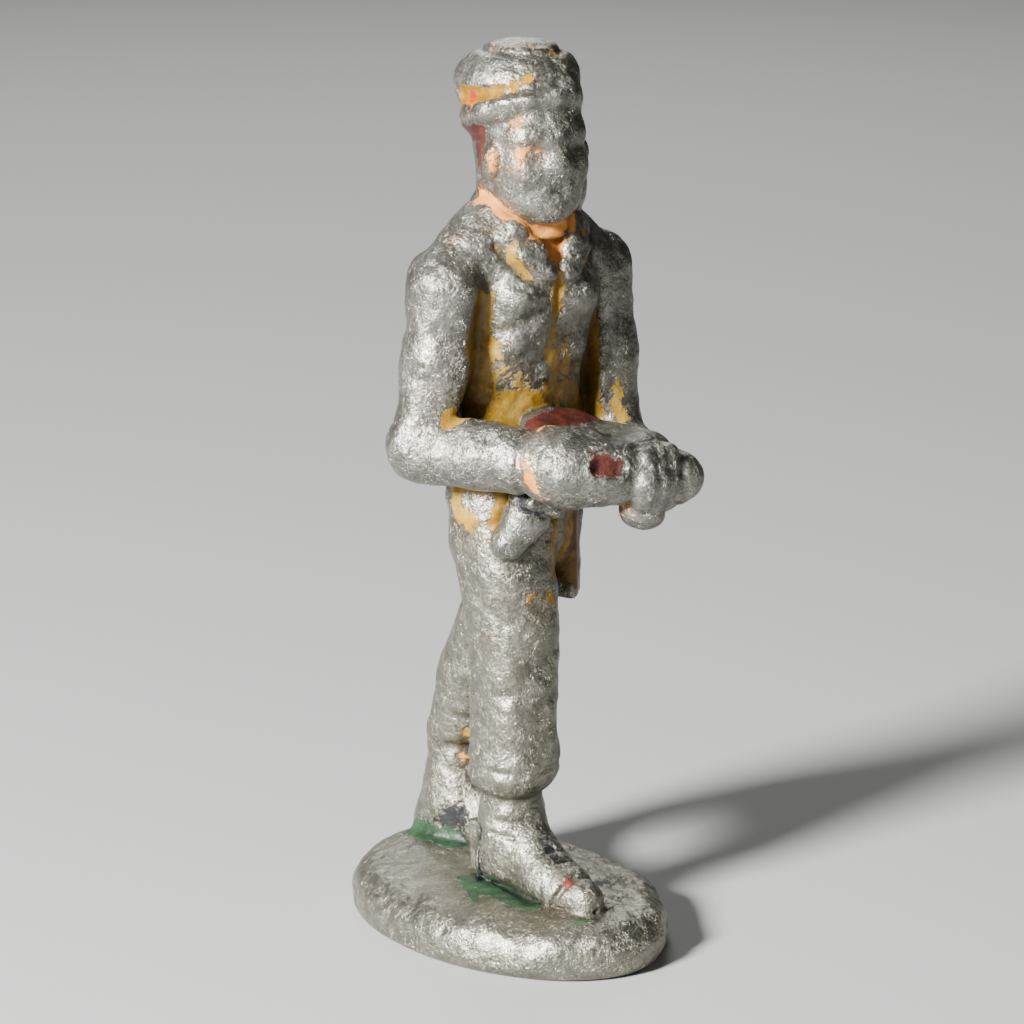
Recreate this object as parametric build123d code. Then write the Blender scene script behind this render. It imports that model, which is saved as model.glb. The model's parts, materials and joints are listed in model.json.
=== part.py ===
"""A painted cast-metal miniature: a walking figure in cap, jacket and trousers, carrying a bundle, on an oval base.

The figure is one solid casting in real life. Here each sculpted part of it is its own solid, cut where the
sculptor's creases and paint edges run, and neighbours meet face to face.
Millimetres. +Z is up, the figure walks towards -Y, and its right hand is on the -X side.
The origin is the middle of the base's underside.
"""

from build123d import *
import math
import os

# Driving dimensions
BASE_HALF_WIDTH = 11.6
BASE_HALF_LENGTH = 16.65
BASE_RIM_HEIGHT = 2.0
BASE_SHOULDER_HEIGHT = 4.0
BASE_DOME_HEIGHT = 4.9
SPARE = 1.0  # metal drawn below the underside, then sliced off to leave one flat face
GROUND = 4.3  # the soles sink to this height into the dome
BODY_X = 1.3  # the trunk stands a little to the figure's left of the base's middle
SHOULDER_Z = 56.4
YOKE_Z = 58.6  # where the shoulders start to slope in towards the neck
WAIST_Z = 38.6
HEM_Z = 13.4
CHIN_Z = 62.2
CAP_BRIM_Z = 70.4
CAP_TOP_Z = 76.4
SLEEVE_RADIUS = 3.1
TROUSER_RADIUS = 3.8

parts = {}


def keep(name, shape):
    """Stores a finished solid under its node name."""
    parts[name] = shape


def oval_loft(stations):
    """A smooth upright form through level ovals, each (x, y, z, half width, half depth)."""
    rings = [Pos(x, y, z) * Ellipse(rx, ry) for x, y, z, rx, ry in stations]
    return loft(rings)


def limb(stations):
    """A round tapering limb through circles (x, y, z, radius), each square to the limb's own line."""
    points = [Vector(*s[:3]) for s in stations]
    rings = []
    for i, (x, y, z, radius) in enumerate(stations):
        along = points[min(i + 1, len(points) - 1)] - points[max(i - 1, 0)]
        rings.append(Plane(origin=(x, y, z), z_dir=along) * Circle(radius))
    return loft(rings)


def ball(x, y, z, radius):
    """A sphere, used to round a limb's joint or end."""
    return Pos(x, y, z) * Sphere(radius)


def egg(x, y, z, rx, ry, rz, turn=(0, 0, 0)):
    """An ellipsoid with those half sizes, turned by degrees about X, Y and Z."""
    return Pos(x, y, z) * Rot(*turn) * scale(Sphere(1), by=(rx, ry, rz))


def without(shape, *names):
    """The shape with its finished neighbours cut away, so that they meet face to face."""
    for name in names:
        shape = shape - parts[name]
    solids = sorted(shape.solids(), key=lambda s: s.volume)
    return Part() + solids[-1]


# Base: a low oval pad with a rounded rim and a slightly domed top


def base_pad():
    foot = BASE_HALF_LENGTH - 0.8
    shoulder = BASE_HALF_LENGTH - 1.5
    outline = [
        Line((0, -SPARE), (foot, -SPARE)),
        Line((foot, -SPARE), (foot, 0)),
        ThreePointArc((foot, 0), (BASE_HALF_LENGTH - 0.15, 0.9), (BASE_HALF_LENGTH, BASE_RIM_HEIGHT)),
        ThreePointArc(
            (BASE_HALF_LENGTH, BASE_RIM_HEIGHT), (BASE_HALF_LENGTH - 0.4, 3.2), (shoulder, BASE_SHOULDER_HEIGHT)
        ),
        ThreePointArc((shoulder, BASE_SHOULDER_HEIGHT), (shoulder * 0.52, 4.68), (0, BASE_DOME_HEIGHT)),
        Line((0, BASE_DOME_HEIGHT), (0, -SPARE)),
    ]
    half = Plane.XZ * make_face(Curve() + outline)
    round_pad = revolve(half, Axis.Z)
    oval_pad = scale(round_pad, by=(BASE_HALF_WIDTH / BASE_HALF_LENGTH, 1, 1))
    return oval_pad & Pos(0, 0, 5) * Box(60, 60, 10)


keep("base", base_pad())

# Shoes and trousers

RIGHT_FOOT_X, RIGHT_ANKLE_Y = -1.0, -1.5
LEFT_FOOT_X, LEFT_ANKLE_Y = 3.1, 10.7


def shoe(x, ankle_y, toe_turn):
    """A plain ankle boot, heel behind the ankle and toe towards -Y, with its shaft up to the trouser hem."""
    lengths = [(3.1, 1.6, 4.4), (2.2, 2.3, 5.6), (0.0, 2.4, 4.2), (-3.4, 2.5, 3.9), (-7.4, 2.35, 2.7), (-9.8, 1.7, 1.9)]
    rings = []
    for along, half_width, height in lengths:
        plane = Plane(origin=(0, along, 0), x_dir=(1, 0, 0), z_dir=(0, -1, 0))
        rings.append(plane * Ellipse(half_width, height))
    foot = loft(rings) + Pos(0, -9.6, 0) * scale(Sphere(1), by=(1.6, 1.4, 1.85))
    foot = foot & Pos(0, 0, 10) * Box(40, 40, 20)
    shaft = oval_loft([(0, 0.1, 0.5, 2.3, 2.6), (0, 0.0, 4.0, 2.5, 2.8), (0, 0.0, HEM_Z - GROUND + 0.6, 2.75, 2.85)])
    return Pos(x, ankle_y, GROUND) * Rot(0, 0, toe_turn) * (foot + shaft)


def trouser_leg(stations):
    """A baggy leg from the rolled hem up to the hip."""
    return oval_loft(stations)


right_leg = trouser_leg(
    [
        (RIGHT_FOOT_X, -1.6, HEM_Z, 3.2, 3.2),
        (RIGHT_FOOT_X, -1.6, HEM_Z + 1.4, 3.7, 3.75),
        (-1.05, -1.7, 18.5, TROUSER_RADIUS, TROUSER_RADIUS),
        (-1.1, -1.8, 25.0, TROUSER_RADIUS, TROUSER_RADIUS),
        (-1.4, -1.6, 31.0, 4.2, 4.2),
        (-1.9, -0.9, 36.2, 4.0, 4.3),
    ]
)
left_leg = trouser_leg(
    [
        (LEFT_FOOT_X, 10.2, HEM_Z + 0.9, 2.9, 3.1),
        (LEFT_FOOT_X, 9.9, HEM_Z + 2.6, 3.45, 3.7),
        (3.2, 8.4, 19.5, 3.6, 3.9),
        (3.4, 5.9, 25.0, 3.65, 3.9),
        (3.5, 3.2, 30.5, 3.7, 4.0),
        (3.6, 1.4, 36.0, 3.7, 4.1),
    ]
)
seat = oval_loft(
    [
        (0.9, 0.7, 31.6, 3.6, 3.0),
        (0.9, 0.5, 34.0, 5.9, 4.4),
        (0.9, 0.5, 36.5, 6.2, 4.7),
        (1.0, 0.5, WAIST_Z, 6.1, 4.7),
    ]
)
keep("trousers_seat", without(seat))
keep("right_trouser_leg", without(right_leg, "trousers_seat"))
keep("left_trouser_leg", without(left_leg, "trousers_seat", "right_trouser_leg"))
keep("right_shoe", without(shoe(RIGHT_FOOT_X, RIGHT_ANKLE_Y, 0), "base", "right_trouser_leg"))
keep("left_shoe", without(shoe(LEFT_FOOT_X, LEFT_ANKLE_Y, 12), "base", "left_trouser_leg", "right_shoe"))

# Casting webs: metal left where the mould halves didn't part cleanly between the legs and behind the front heel

leg_web = Pos(0.9, 4.2, 21.5) * Rot(0, 0, -28) * Box(1.2, 7.0, 15.0)
keep("leg_web", without(leg_web, "right_trouser_leg", "left_trouser_leg", "trousers_seat", "right_shoe"))
heel_web = Pos(-0.6, 2.0, 6.8) * Box(2.2, 2.2, 5.4)
keep("heel_web", without(heel_web, "base", "right_shoe", "left_shoe", "right_trouser_leg", "leg_web"))

# Jacket

trunk = oval_loft(
    [
        (1.0, 0.5, WAIST_Z, 6.1, 4.7),
        (1.1, 0.4, 43.0, 6.3, 4.8),
        (1.2, 0.2, 48.0, 6.8, 4.9),
        (BODY_X, 0.1, 53.0, 7.5, 4.9),
        (BODY_X, 0.3, YOKE_Z, 8.5, 4.4),
    ]
)
yoke = loft(
    [
        Pos(BODY_X, 0.3, YOKE_Z) * Ellipse(8.5, 4.4),
        Pos(BODY_X, 0.4, 60.7) * Ellipse(8.1, 3.6),
        Pos(BODY_X, 0.5, 62.9) * Ellipse(5.1, 2.9),
    ],
    ruled=True,
)
keep("jacket_body", without(trunk + yoke))

# Arms: upper arm, elbow and forearm in one sleeve, ending at the cuff

RIGHT_SHOULDER, RIGHT_ELBOW, RIGHT_CUFF = (-6.3, 0.5, SHOULDER_Z), (-8.5, 1.2, 43.5), (-4.6, -7.2, 43.1)
LEFT_SHOULDER, LEFT_ELBOW, LEFT_CUFF = (9.6, 0.5, SHOULDER_Z), (10.3, -0.9, 43.2), (8.0, -9.2, 41.0)


def midpoint(a, b, share, push=(0, 0, 0)):
    """The point that share of the way from a to b, moved by push."""
    return tuple(p + (q - p) * share + d for p, q, d in zip(a, b, push))


def sleeve(shoulder, elbow, cuff, outward):
    """A sleeve bent at the elbow; outward is -1 for the right arm and 1 for the left."""
    bulge = midpoint(shoulder, elbow, 0.45, (-0.2 * outward, 0, 0))
    upper = limb([(*shoulder, 3.5), (*bulge, SLEEVE_RADIUS), (*elbow, 3.0)])
    fore = limb([(*elbow, 3.0), (*midpoint(elbow, cuff, 0.5), 2.95), (*cuff, 2.8)])
    return upper + ball(*shoulder, 3.5) + ball(*elbow, 3.02) + fore


keep("right_sleeve", without(sleeve(RIGHT_SHOULDER, RIGHT_ELBOW, RIGHT_CUFF, -1), "jacket_body", "trousers_seat"))
keep("left_sleeve", without(sleeve(LEFT_SHOULDER, LEFT_ELBOW, LEFT_CUFF, 1), "jacket_body", "trousers_seat"))

# Hands and the bundle that they hold

RIGHT_KNUCKLES, LEFT_KNUCKLES = (-0.2, -11.9, 42.5), (6.3, -13.8, 41.2)
right_hand = limb([(*RIGHT_CUFF, 2.6), (-2.6, -9.8, 42.8, 3.0), (*RIGHT_KNUCKLES, 2.7)]) + ball(*RIGHT_KNUCKLES, 2.7)
left_hand = limb([(*LEFT_CUFF, 2.45), (*LEFT_KNUCKLES, 2.3)]) + ball(6.2, -13.6, 41.2, 2.6)
left_palm = ball(4.1, -12.6, 39.6, 2.1)
keep("right_hand", without(right_hand, "right_sleeve", "jacket_body"))
keep("left_hand", without(left_hand + left_palm, "left_sleeve", "jacket_body", "right_hand"))
loaf = oval_loft(
    [
        (0, 0, -2.7, 3.4, 4.4),
        (0, 0, -1.6, 4.9, 6.1),
        (0, 0, 0, 5.4, 6.6),
        (0, 0, 1.6, 5.0, 6.2),
        (0, 0, 2.5, 3.9, 5.0),
    ]
)
bundle = Pos(2.0, -8.0, 42.9) * Rot(0, 0, 35) * loaf
keep("carried_bundle", without(bundle, "jacket_body", "right_hand", "left_hand", "right_sleeve", "left_sleeve"))

# Belt kit

holster = limb([(-0.9, -5.1, 39.4, 1.3), (-1.7, -5.5, 37.6, 2.0), (-2.3, -5.6, 35.6, 2.05), (-3.0, -5.2, 33.2, 1.2)])
keep("holster", without(holster, "right_trouser_leg", "trousers_seat", "jacket_body", "right_hand", "carried_bundle"))
flap = Pos(-0.5, -5.4, 39.0) * Rot(0, 14, 0) * Box(3.4, 2.6, 1.6)
keep("holster_flap", without(flap, "holster", "jacket_body", "trousers_seat", "right_hand", "carried_bundle"))
pouch = Pos(4.6, -1.9, 33.4) * Rot(0, 0, 38) * Box(2.9, 2.7, 8.8)
pouch = fillet(pouch.edges(), 1.0)
keep("hip_pouch", without(pouch, "trousers_seat", "left_trouser_leg", "right_trouser_leg", "jacket_body"))

# Neck, head, hair and cap; the head looks a little to the figure's right

HEAD_TURN = -10
HEAD_X, HEAD_Y = 1.4, -0.4


def on_head(shape):
    """Turns a shape modelled on the trunk's own line to where the head looks."""
    return Pos(HEAD_X, HEAD_Y, 0) * Rot(0, 0, HEAD_TURN) * shape


neck = oval_loft([(BODY_X, -0.6, 58.4, 3.0, 3.6), (1.4, -0.4, 61.6, 2.9, 3.1), (1.4, -0.4, 65.0, 2.9, 3.1)])
skull = on_head(
    oval_loft(
        [
            (0, -3.0, CHIN_Z, 1.5, 1.4),
            (0, -2.2, 63.4, 2.8, 2.9),
            (0, -1.2, 65.6, 3.9, 4.1),
            (0, -0.5, 68.4, 4.2, 4.8),
            (0, -0.2, 71.2, 4.3, 5.0),
            (0, 0.0, 73.4, 3.4, 4.0),
        ]
    )
)
crown = on_head(
    oval_loft(
        [
            (0, 0.7, CAP_BRIM_Z, 4.6, 5.2),
            (-0.2, 1.1, 72.2, 5.0, 5.6),
            (-0.3, 1.4, 74.2, 4.8, 5.4),
            (-0.3, 1.4, CAP_TOP_Z - 0.7, 3.8, 4.4),
        ]
    )
)
cap_top = on_head(oval_loft([(-0.3, 1.4, CAP_TOP_Z - 0.7, 3.8, 4.4), (-0.3, 1.4, CAP_TOP_Z, 2.4, 3.0)]))
visor_ring = oval_loft([(0, -0.8, 69.6, 3.9, 4.5), (0, -0.9, 70.5, 4.3, 4.8), (0, -0.8, 71.6, 4.1, 4.7)])
visor_ring = visor_ring & Pos(0, -5.4, 70.6) * Box(20, 11, 4)
hair_mass = oval_loft(
    [
        (0.2, 0.8, 61.0, 4.3, 3.8),
        (0.3, 0.7, 63.0, 5.0, 4.2),
        (0.2, 0.5, 66.0, 4.9, 4.4),
        (0, 0.6, 69.0, 4.5, 4.6),
        (0, 0.7, 71.0, 4.3, 4.7),
    ]
)
hair_mass = hair_mass - Pos(0, -7.4, 66.0) * Box(20, 12, 20)

keep("neck", without(neck, "jacket_body"))
keep("cap_crown", without(crown))
keep("cap_top", without(cap_top, "cap_crown"))
keep("cap_visor", without(on_head(visor_ring), "cap_crown"))
keep("head", without(skull, "cap_crown", "cap_visor", "neck", "jacket_body"))
keep("hair", without(on_head(hair_mass), "cap_crown", "cap_visor", "head", "neck", "jacket_body"))
for side, name in ((-1, "right_ear"), (1, "left_ear")):
    ear_disc = extrude(Plane.YZ * Ellipse(0.95, 1.5), 0.8, both=True)
    ear = on_head(Pos(side * 3.7, -1.6, 66.5) * Rot(14, 0, 0) * ear_disc)
    keep(name, without(ear, "head", "hair", "cap_crown", "cap_visor", "neck"))


# Collar: two pointed leaves lying open on the chest


def collar_leaf(side):
    leaf = egg(BODY_X + side * 2.3, -3.2, 59.4, 2.4, 1.2, 2.5, (28, side * 24, side * -20))
    return without(leaf, "jacket_body", "neck", "head", "hair")


keep("right_collar", collar_leaf(-1))
keep("left_collar", collar_leaf(1))

os.makedirs("parts", exist_ok=True)
for node, solid in parts.items():
    export_step(solid, f"parts/{node}.step")
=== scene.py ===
import json
import math

import bpy
import numpy as np
from mathutils import Euler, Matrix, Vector


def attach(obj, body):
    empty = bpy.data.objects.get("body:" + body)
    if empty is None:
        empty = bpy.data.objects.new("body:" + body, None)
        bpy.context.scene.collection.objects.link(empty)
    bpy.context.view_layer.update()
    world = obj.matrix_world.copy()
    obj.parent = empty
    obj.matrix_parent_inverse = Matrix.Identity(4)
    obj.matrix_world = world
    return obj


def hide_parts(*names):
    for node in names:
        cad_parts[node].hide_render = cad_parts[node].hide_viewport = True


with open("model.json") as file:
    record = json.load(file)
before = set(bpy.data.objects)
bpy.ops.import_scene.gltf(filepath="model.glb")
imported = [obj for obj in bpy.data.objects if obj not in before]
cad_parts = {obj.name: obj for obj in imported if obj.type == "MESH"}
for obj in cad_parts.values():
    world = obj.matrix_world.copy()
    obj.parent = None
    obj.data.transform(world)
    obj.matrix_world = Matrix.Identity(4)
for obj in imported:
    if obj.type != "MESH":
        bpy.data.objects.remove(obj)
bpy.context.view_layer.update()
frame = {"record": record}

# The casting is worked out in millimetres as one field of distances: below zero is metal, above zero is air.
# Each named form owns the metal nearest to it, and becomes a closed piece that shares its seams with them.

MM = 0.001
VOXEL = 0.17
LOW = np.array([-13.6, -18.0, -0.9])
HIGH = np.array([15.2, 18.0, 78.0])
REACH = 2.4  # how far round a form its distances are worked out
FAR = 9.0

counts = np.ceil((HIGH - LOW) / VOXEL).astype(int) + 1
axes = [(LOW[i] + VOXEL * np.arange(counts[i])).astype(np.float32) for i in range(3)]


class Block:
    """The stretch of the grid that holds a box, with its coordinates ready to combine."""

    def __init__(self, low, high, reach=REACH):
        spans = []
        for i in range(3):
            first = int(np.floor((low[i] - reach - LOW[i]) / VOXEL))
            last = int(np.ceil((high[i] + reach - LOW[i]) / VOXEL)) + 1
            spans.append(slice(max(first, 0), min(last, counts[i])))
        self.spans = tuple(spans)
        self.x = axes[0][spans[0]][:, None, None]
        self.y = axes[1][spans[1]][None, :, None]
        self.z = axes[2][spans[2]][None, None, :]


# Forms: each is (low corner, high corner, distance function of x, y and z)


def merge(a, b, width):
    """The union of two distances, with a fillet of that width where they meet."""
    near = np.clip(1 - np.abs(a - b) / width, 0, 1)
    return np.minimum(a, b) - near * near * (width * 0.25)


def overlap(a, b, width):
    """What two distances have in common, with its edge rounded over that width."""
    return -merge(-a, -b, width)


def group(forms, width):
    """Several forms as one, with a fillet between them."""
    low = np.min([f[0] for f in forms], axis=0)
    high = np.max([f[1] for f in forms], axis=0)

    def distance(x, y, z):
        result = forms[0][2](x, y, z)
        for form in forms[1:]:
            result = merge(result, form[2](x, y, z), width)
        return result

    return low, high, distance


def limb(points, width=0.01):
    """A rounded limb through (x, y, z, radius)."""
    places = np.array(points, dtype=float)
    low = (places[:, :3] - places[:, 3:]).min(axis=0)
    high = (places[:, :3] + places[:, 3:]).max(axis=0)

    def distance(x, y, z):
        result = None
        for a, b in zip(places[:-1], places[1:]):
            dx, dy, dz = b[:3] - a[:3]
            length2 = dx * dx + dy * dy + dz * dz
            t = np.clip(((x - a[0]) * dx + (y - a[1]) * dy + (z - a[2]) * dz) / length2, 0, 1)
            gap = np.sqrt((x - a[0] - t * dx) ** 2 + (y - a[1] - t * dy) ** 2 + (z - a[2] - t * dz) ** 2)
            gap = gap - (a[3] + t * (b[3] - a[3]))
            result = gap if result is None else merge(result, gap, width)
        return result

    return low, high, distance


def turned(centre, turn):
    """A function that gives coordinates in a frame at that centre, turned by degrees about X, Y and Z."""
    m = np.array(Euler([math.radians(a) for a in turn]).to_matrix())

    def local(x, y, z):
        x, y, z = x - centre[0], y - centre[1], z - centre[2]
        return tuple(m[0][i] * x + m[1][i] * y + m[2][i] * z for i in range(3))

    return local


def egg(centre, radii, turn=(0, 0, 0)):
    """An ellipsoid with those half sizes."""
    local = turned(centre, turn)
    size = max(radii)
    a, b, c = radii

    def distance(x, y, z):
        u, v, w = local(x, y, z)
        k = np.sqrt((u / a) ** 2 + (v / b) ** 2 + (w / c) ** 2)
        slope = np.sqrt((u / a**2) ** 2 + (v / b**2) ** 2 + (w / c**2) ** 2) + 1e-6
        return k * (k - 1) / slope

    centre = np.array(centre, dtype=float)
    return centre - size, centre + size, distance


def slab(centre, halves, edge, turn=(0, 0, 0)):
    """A box with rounded edges."""
    local = turned(centre, turn)
    inner = [h - edge for h in halves]

    def distance(x, y, z):
        q = [np.abs(u) - h for u, h in zip(local(x, y, z), inner)]
        outside = np.sqrt(sum(np.maximum(v, 0) ** 2 for v in q))
        inside = np.minimum(np.maximum(np.maximum(q[0], q[1]), q[2]), 0)
        return outside + inside - edge

    centre = np.array(centre, dtype=float)
    size = float(np.linalg.norm(halves))
    return centre - size, centre + size, distance


def smooth_through(at, knots, values):
    """A smooth curve through values at rising knots, held level past both ends."""
    knots = np.asarray(knots, dtype=float)
    values = np.asarray(values, dtype=float)
    slopes = np.gradient(values, knots)
    at = np.clip(at, knots[0], knots[-1])
    i = np.clip(np.searchsorted(knots, at, side="right") - 1, 0, len(knots) - 2)
    step = knots[i + 1] - knots[i]
    t = (at - knots[i]) / step
    start = (1 + 2 * t) * (1 - t) ** 2 * values[i] + t * (1 - t) ** 2 * step * slopes[i]
    end = t * t * (3 - 2 * t) * values[i + 1] + t * t * (t - 1) * step * slopes[i + 1]
    return (start + end).astype(np.float32)


def column(stations, edge=1.0, boxy=2.0):
    """An upright form through ovals (x, y, z, half width, half depth); boxy over 2 squares its sides."""
    s = np.array(stations, dtype=float)
    low = np.array([(s[:, 0] - s[:, 3]).min(), (s[:, 1] - s[:, 4]).min(), s[0, 2]])
    high = np.array([(s[:, 0] + s[:, 3]).max(), (s[:, 1] + s[:, 4]).max(), s[-1, 2]])

    def distance(x, y, z):
        cx, cy, rx, ry = (smooth_through(z, s[:, 2], s[:, i]) for i in (0, 1, 3, 4))
        u, v = np.abs((x - cx) / rx), np.abs((y - cy) / ry)
        k = (u**boxy + v**boxy) ** (1 / boxy)
        slope = np.sqrt((u / rx) ** 2 + (v / ry) ** 2) / (np.sqrt(u * u + v * v) + 1e-6) + 1e-6
        side = (k - 1) / slope
        ends = np.maximum(z - s[-1, 2], s[0, 2] - z) + np.zeros_like(side)
        return overlap(side, ends, edge)

    return low, high, distance


# The figure's own measures, in millimetres

BASE_HALF_WIDTH, BASE_HALF_LENGTH = 11.4, 16.6
BASE_RIM_TOP, BASE_DOME = 4.2, 4.9
GROUND = 4.3
BODY_X = 1.3
HEM_Z = 13.2
JACKET_HEM_Z = 37.0
HEAD_X, HEAD_Y, HEAD_TURN = 1.4, -0.4, -10.0
FRONT_ANKLE = (-1.0, -1.5)
REAR_ANKLE = (3.1, 10.7)
RIGHT_SHOULDER, RIGHT_ELBOW, RIGHT_CUFF = (-6.5, 0.4, 56.8), (-8.6, 1.0, 43.8), (-4.3, -7.4, 43.1)
LEFT_SHOULDER, LEFT_ELBOW, LEFT_CUFF = (9.4, 0.5, 56.4), (10.2, -0.9, 42.0), (8.0, -9.2, 39.3)


def facing(x, y, z, *rest):
    """A place given on the head's own line, taken to where the head looks."""
    turn = math.radians(HEAD_TURN)
    across = HEAD_X + x * math.cos(turn) - y * math.sin(turn)
    along = HEAD_Y + x * math.sin(turn) + y * math.cos(turn)
    return (across, along, z, *rest)


def between(a, b, share, push=(0, 0, 0)):
    """A place that far along from a to b, then pushed aside."""
    return tuple(p + (q - p) * share + d for p, q, d in zip(a, b, push))


def base_form():
    """The low oval pad: flat below, domed above, with a thick rounded rim."""

    def distance(x, y, z):
        u, v = x / BASE_HALF_WIDTH, y / BASE_HALF_LENGTH
        k = np.sqrt(u * u + v * v)
        slope = np.sqrt((u / BASE_HALF_WIDTH) ** 2 + (v / BASE_HALF_LENGTH) ** 2) + 1e-6
        side = k * (k - 1) / slope
        top = z - (BASE_RIM_TOP + (BASE_DOME - BASE_RIM_TOP) * (1 - np.minimum(k, 1.2) ** 2))
        pad = overlap(side, top, 2.8)
        return overlap(pad, -z + 0 * pad, 1.3)

    low = np.array([-BASE_HALF_WIDTH, -BASE_HALF_LENGTH, 0])
    high = np.array([BASE_HALF_WIDTH, BASE_HALF_LENGTH, 5.4])
    return low, high, distance


def boot(ankle, toe, heel_back, shaft_top):
    """An ankle boot from heel to toe, with its shaft up into the trouser hem."""
    x, y = ankle
    tx, ty = toe
    length = math.hypot(tx - x, ty - y)
    fx, fy = (tx - x) / length, (ty - y) / length
    sole = GROUND + 0.5

    def ahead(step, z, radius):
        return (x + fx * step, y + fy * step, z, radius)

    foot = limb([ahead(-heel_back + 2.0, sole + 1.2, 2.1), ahead(length * 0.62, sole + 0.75, 2.35)], 1.0)
    toes = limb([ahead(length * 0.55, sole + 0.75, 2.35), ahead(length - 1.7, sole + 0.4, 1.75)], 1.0)
    instep = limb([ahead(0.3, 9.2, 2.5), ahead(length * 0.42, sole + 1.5, 2.3)], 1.0)
    heel = limb([ahead(-0.2, 10.2, 2.5), ahead(-heel_back + 2.3, sole + 1.4, 2.3)], 1.0)
    shaft = column(
        [(x, y, 6.0, 2.5, 2.7), (x, y + 0.1, 9.0, 2.6, 2.7), (x, y + 0.1, shaft_top, 2.6, 2.65)],
        0.6,
    )
    return group([foot, toes, instep, heel, shaft], 1.1)


def sleeve(shoulder, elbow, cuff, tuck, cuff_radius):
    """A sleeve bent at the elbow; tuck brings the middle of the upper arm in towards the ribs."""
    upper_middle = between(shoulder, elbow, 0.5, (tuck, 0, 0))
    upper = limb([(*shoulder, 3.45), (*upper_middle, 2.8), (*elbow, 2.7)], 2.0)
    sagging = (elbow[0], elbow[1], elbow[2] - 0.5)
    fore_middle = between(elbow, cuff, 0.55, (0, 0, -0.1))
    fore = limb([(*sagging, 2.95), (*fore_middle, 2.75), (*cuff, cuff_radius)], 1.0)
    return group([upper, fore], 0.8)


def right_hand_form():
    """A fist round the bundle's near end: a broad back, and finger ends that show as low bumps underneath."""
    back = limb([(-4.2, -7.7, 43.0, 2.6), (-2.6, -9.8, 42.8, 3.0), (-0.4, -11.7, 42.6, 2.75)], 1.2)
    fingers = []
    for i in range(4):
        share = i / 3
        x, y = -2.6 + 3.6 * share, -11.2 - 1.7 * share
        fingers.append(limb([(x, y, 43.6, 1.15), (x + 0.2, y + 0.3, 41.0, 1.1)]))
    thumb = limb([(-2.8, -8.4, 45.0, 1.1), (-0.2, -10.2, 45.0, 1.0)])
    return group([back, thumb, *fingers], 0.9)


def left_hand_form():
    """A hand brought round the bundle's far end: a back, a row of fingers and the heel of the palm below."""
    back = limb([(8.0, -9.4, 39.6, 1.95), (7.0, -12.3, 40.9, 2.0), (6.6, -13.6, 41.2, 2.1)], 1.0)
    palm = egg((3.5, -12.6, 38.9), (1.9, 1.9, 1.8))
    fingers = []
    for i in range(3):
        x, y = 4.7 - 1.2 * i, -14.6 - 0.05 * i
        knuckle = (x + 0.3, y + 0.6, 43.4, 0.95)
        middle = (x, y, 41.6, 1.05)
        tip = (x + 0.2, y + 0.7, 40.0, 0.95)
        fingers.append(limb([knuckle, middle, tip]))
    return group([back, palm, *fingers], 0.5)


def bundle_form():
    """The soft oval thing held against the belt."""
    loaf = egg((2.0, -8.0, 42.9), (5.6, 6.6, 3.0), (0, 0, 35))
    top = slab((2.0, -8.0, 42.6), (9, 9, 2.5), 0.4)
    far_end = egg((3.4, -12.0, 42.0), (3.4, 2.4, 2.4), (0, 0, 35))
    against_belly = egg((0.9, -4.9, 44.9), (3.5, 2.6, 0.95), (14, 0, 0))
    low, high, loaf_distance = loaf

    def distance(x, y, z):
        flat = overlap(loaf_distance(x, y, z), top[2](x, y, z), 1.2)
        flat = merge(flat, far_end[2](x, y, z), 1.5)
        return merge(flat, against_belly[2](x, y, z), 1.0)

    return low, high, distance


def head_form():
    """A plain worn head: brow, nose, cheeks, mouth and chin on even proportions, belonging to nobody."""
    skull = column(
        [facing(0, -2.2, 61.9, 2.3, 2.3), facing(0, -1.8, 63.2, 3.3, 3.3),
         facing(-0.1, -1.2, 65.6, 3.95, 4.1), facing(-0.15, -0.6, 68.2, 4.1, 4.8),
         facing(-0.15, -0.2, 71.0, 4.0, 4.7), facing(0, 0.2, 73.4, 3.4, 3.8)],
        1.4, 2.2,
    )
    nose = limb([facing(0, -4.95, 68.6, 0.5), facing(0, -5.35, 66.8, 0.85)])
    wings = limb([facing(-0.5, -5.0, 66.55, 0.6), facing(0.5, -5.0, 66.55, 0.6)])
    brow = limb([facing(-2.5, -3.9, 69.2, 0.65), facing(0, -4.55, 69.25, 0.7),
                 facing(2.3, -3.9, 69.2, 0.65)])
    cheeks = [egg(facing(side * 2.15, -3.85, 66.4), (1.3, 1.1, 1.3)) for side in (-1, 1)]
    lips = limb([facing(-1.0, -4.55, 64.75, 0.45), facing(1.0, -4.55, 64.75, 0.45)])
    chin = egg(facing(0, -3.95, 63.0), (1.3, 1.0, 0.9))
    return group([skull, nose, wings, brow, *cheeks, lips, chin], 1.1)


def collar_leaf(side):
    """One half of the open collar: a flat band from the nape over the shoulder down to the point of the V."""
    x = BODY_X + 0.1
    inner = limb(
        [(x + side * 3.1, 1.8, 63.2, 0.75), (x + side * 3.7, -0.5, 62.7, 0.75),
         (x + side * 3.0, -2.6, 61.4, 0.7), (x + side * 1.8, -3.8, 59.6, 0.6),
         (x + side * 0.7, -4.3, 57.6, 0.5)],
        0.6,
    )
    outer = limb(
        [(x + side * 4.3, 0.2, 61.9, 0.6), (x + side * 4.4, -2.0, 60.7, 0.65),
         (x + side * 3.3, -3.5, 59.2, 0.65), (x + side * 1.9, -4.1, 57.6, 0.5)],
        0.6,
    )
    return group([inner, outer], 1.6)


def hair_form():
    """Hair to the collar, full at the back and in front of the far ear."""
    return column(
        [facing(0.6, 1.2, 60.8, 4.3, 3.3), facing(0.9, 0.9, 62.6, 4.9, 3.8),
         facing(0.9, 0.8, 65.5, 4.95, 4.0), facing(0.35, 1.1, 68.5, 4.5, 4.1),
         facing(0, 1.2, 71.5, 4.3, 4.1)],
        1.0,
    )


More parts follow.
